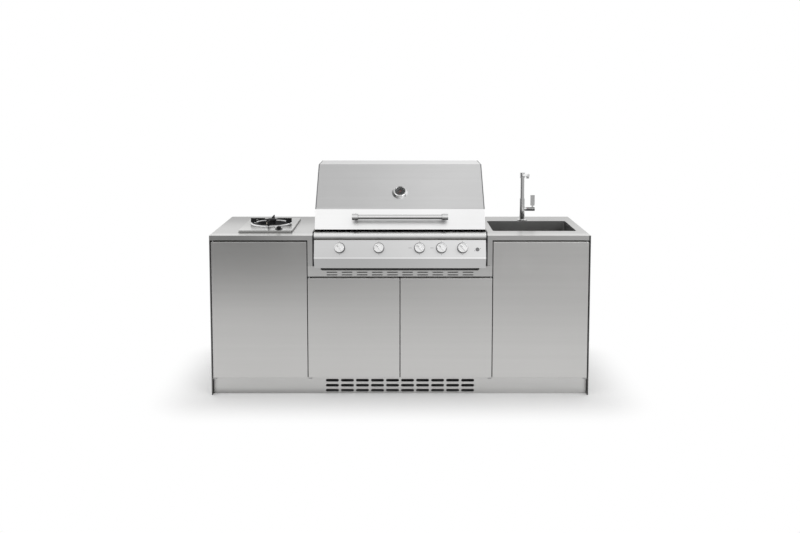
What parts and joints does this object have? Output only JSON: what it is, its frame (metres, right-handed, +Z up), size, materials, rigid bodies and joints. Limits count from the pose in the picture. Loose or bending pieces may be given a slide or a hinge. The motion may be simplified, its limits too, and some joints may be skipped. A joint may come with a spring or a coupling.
{
  "type": "outdoor kitchen",
  "caption": "Stainless outdoor kitchen: cabinets under one worktop with a hooded gas barbecue, a side hob, a sink with a mixer tap and a vented plinth.",
  "frame": {"origin": "on the floor, in the middle of the overall width and of the overall depth, knobs included", "axes": "+X to the right, towards the sink, for someone who faces the doors; +Y back, away from them; +Z up"},
  "size_m": [2.1, 0.7082, 1.265],
  "materials": {
    "cabinet_steel": "horizontally brushed stainless sheet",
    "door_steel": "horizontally brushed stainless sheet",
    "worktop_steel": "brushed stainless sheet, folded edges",
    "carcass_steel": "plain stainless sheet, inside the cabinets",
    "hood_steel": "brushed stainless sheet, brighter than the doors",
    "panel_steel": "brushed stainless sheet",
    "polished_steel": "polished stainless",
    "sink_steel": "satin stainless pressing",
    "zinc_steel": "zinc-plated steel",
    "fire_steel": "plain stainless sheet, darkened by heat",
    "dark_enamel": "black enamel",
    "grey_enamel": "dark grey enamel",
    "cast_iron": "seasoned cast iron",
    "brass": "turned and drawn brass",
    "ceramic": "pierced ceramic tile, matt",
    "black_plastic": "moulded black plastic",
    "grey_plastic": "moulded grey plastic",
    "rubber": "black rubber",
    "knob_metal": "turned and polished metal",
    "glass": "clear flat glass",
    "needle_red": "red lacquer"
  },
  "bodies": {
    "cabinet": {"end_panel_left": "cabinet_steel", "end_panel_right": "cabinet_steel", "partition_left": "carcass_steel", "partition_right": "carcass_steel", "base_shelves": "carcass_steel", "back_panel": "carcass_steel", "plinth": "cabinet_steel", "adjustable_feet": "black_plastic", "worktop_left": "worktop_steel", "worktop_right": "worktop_steel", "worktop_rear": "worktop_steel", "vent_strip": "cabinet_steel", "hinge_brackets": "zinc_steel", "hinge_pins": "zinc_steel", "service_grommets": "rubber", "support_rails": "zinc_steel", "firebox": "fire_steel", "bbq_side_trims": "dark_enamel", "front_rail": "polished_steel", "control_panel": "panel_steel", "knob_bezels": "grey_enamel", "gas_valves": "brass", "gas_manifold": "zinc_steel", "burners": "fire_steel", "rear_burner": "ceramic", "flame_tamers": "fire_steel", "cooking_grates": "cast_iron", "hotplate": "cast_iron", "warming_rack": "polished_steel", "hob_plate": "worktop_steel", "hob_burner": "dark_enamel", "drip_ring": "polished_steel", "burner_cap": "fire_steel", "pan_support": "cast_iron", "sink_bowl": "sink_steel", "sink_strainer": "polished_steel", "waste_trap": "grey_plastic", "tap_body": "polished_steel"},
    "left_door": {"door_left": "door_steel"},
    "centre_left_door": {"door_centre_left": "door_steel"},
    "centre_right_door": {"door_centre_right": "door_steel"},
    "right_door": {"door_right": "door_steel"},
    "hood": {"hood_skin": "hood_steel", "hood_ends": "grey_enamel", "handle_bar": "polished_steel", "handle_mounts": "panel_steel", "thermometer_case": "polished_steel", "thermometer_glass": "glass"},
    "thermometer_pointer": {"thermometer_needle": "needle_red"},
    "burner_knob_1": {"knob_1": "knob_metal"},
    "burner_knob_2": {"knob_2": "knob_metal"},
    "burner_knob_3": {"knob_3": "knob_metal"},
    "burner_knob_4": {"knob_4": "knob_metal"},
    "burner_knob_5": {"knob_5": "knob_metal"},
    "side_hob_knob": {"hob_knob": "black_plastic"},
    "igniter": {"ignition_button": "black_plastic"},
    "grease_tray": {"drip_tray": "fire_steel"},
    "spout": {"tap_spout": "polished_steel"},
    "mixer_sleeve": {"tap_sleeve": "polished_steel"},
    "mixer_lever": {"tap_lever": "polished_steel"}
  },
  "joints": [
    {"name": "left_door_hinge", "type": "hinge", "parent": "cabinet", "child": "left_door", "pos_m": [-1.032, -0.28786, 0.48], "axis": [0, 0, -1], "range_deg": [0, 100]},
    {"name": "centre_left_door_hinge", "type": "hinge", "parent": "cabinet", "child": "centre_left_door", "pos_m": [-0.5015, -0.28786, 0.38], "axis": [0, 0, -1], "range_deg": [0, 90]},
    {"name": "centre_right_door_hinge", "type": "hinge", "parent": "cabinet", "child": "centre_right_door", "pos_m": [0.5015, -0.28786, 0.38], "axis": [0, 0, 1], "range_deg": [0, 90]},
    {"name": "right_door_hinge", "type": "hinge", "parent": "cabinet", "child": "right_door", "pos_m": [1.032, -0.28786, 0.48], "axis": [0, 0, 1], "range_deg": [0, 100]},
    {"name": "hood_hinge", "type": "hinge", "parent": "cabinet", "child": "hood", "pos_m": [0, 0.20914, 0.945], "axis": [-1, 0, 0], "range_deg": [0, 80]},
    {"name": "thermometer_pointer_turn", "type": "hinge", "parent": "hood", "child": "thermometer_pointer", "pos_m": [0, -0.15122, 1.12288], "axis": [0, 0.7165, -0.6976], "range_deg": [0, 250]},
    {"name": "burner_knob_1_turn", "type": "hinge", "parent": "cabinet", "child": "burner_knob_1", "pos_m": [-0.331, -0.33078, 0.83939], "axis": [0, -0.9707, 0.2403], "range_deg": [0, 135]},
    {"name": "burner_knob_2_turn", "type": "hinge", "parent": "cabinet", "child": "burner_knob_2", "pos_m": [-0.116, -0.33078, 0.83939], "axis": [0, -0.9707, 0.2403], "range_deg": [0, 135]},
    {"name": "burner_knob_3_turn", "type": "hinge", "parent": "cabinet", "child": "burner_knob_3", "pos_m": [0.107, -0.33078, 0.83939], "axis": [0, -0.9707, 0.2403], "range_deg": [0, 135]},
    {"name": "burner_knob_4_turn", "type": "hinge", "parent": "cabinet", "child": "burner_knob_4", "pos_m": [0.227, -0.33078, 0.83939], "axis": [0, -0.9707, 0.2403], "range_deg": [0, 135]},
    {"name": "burner_knob_5_turn", "type": "hinge", "parent": "cabinet", "child": "burner_knob_5", "pos_m": [0.343, -0.33078, 0.83939], "axis": [0, -0.9707, 0.2403], "range_deg": [0, 135]},
    {"name": "side_hob_knob_turn", "type": "hinge", "parent": "cabinet", "child": "side_hob_knob", "pos_m": [-0.686, -0.15686, 0.912], "axis": [0, 0, 1], "range_deg": [0, 135]},
    {"name": "igniter_push", "type": "slide", "parent": "cabinet", "child": "igniter", "axis": [0, 0.9707, -0.2403], "range_m": [0, 0.004], "stiffness_N_per_m": 400, "springref_m": -0.003},
    {"name": "grease_tray_slide", "type": "slide", "parent": "cabinet", "child": "grease_tray", "axis": [0, -1, 0], "range_m": [0, 0.38]},
    {"name": "spout_swivel", "type": "hinge", "parent": "cabinet", "child": "spout", "pos_m": [0.745, 0.22614, 1.04], "axis": [0, 0, 1], "range_deg": [-90, 90]},
    {"name": "mixer_temperature_turn", "type": "hinge", "parent": "cabinet", "child": "mixer_sleeve", "pos_m": [0.8, 0.22614, 0.968], "axis": [1, 0, 0], "range_deg": [-45, 45]},
    {"name": "mixer_flow_tilt", "type": "hinge", "parent": "mixer_sleeve", "child": "mixer_lever", "pos_m": [0.808, 0.22614, 0.968], "axis": [0, 1, 0], "range_deg": [0, 20]}
  ]
}
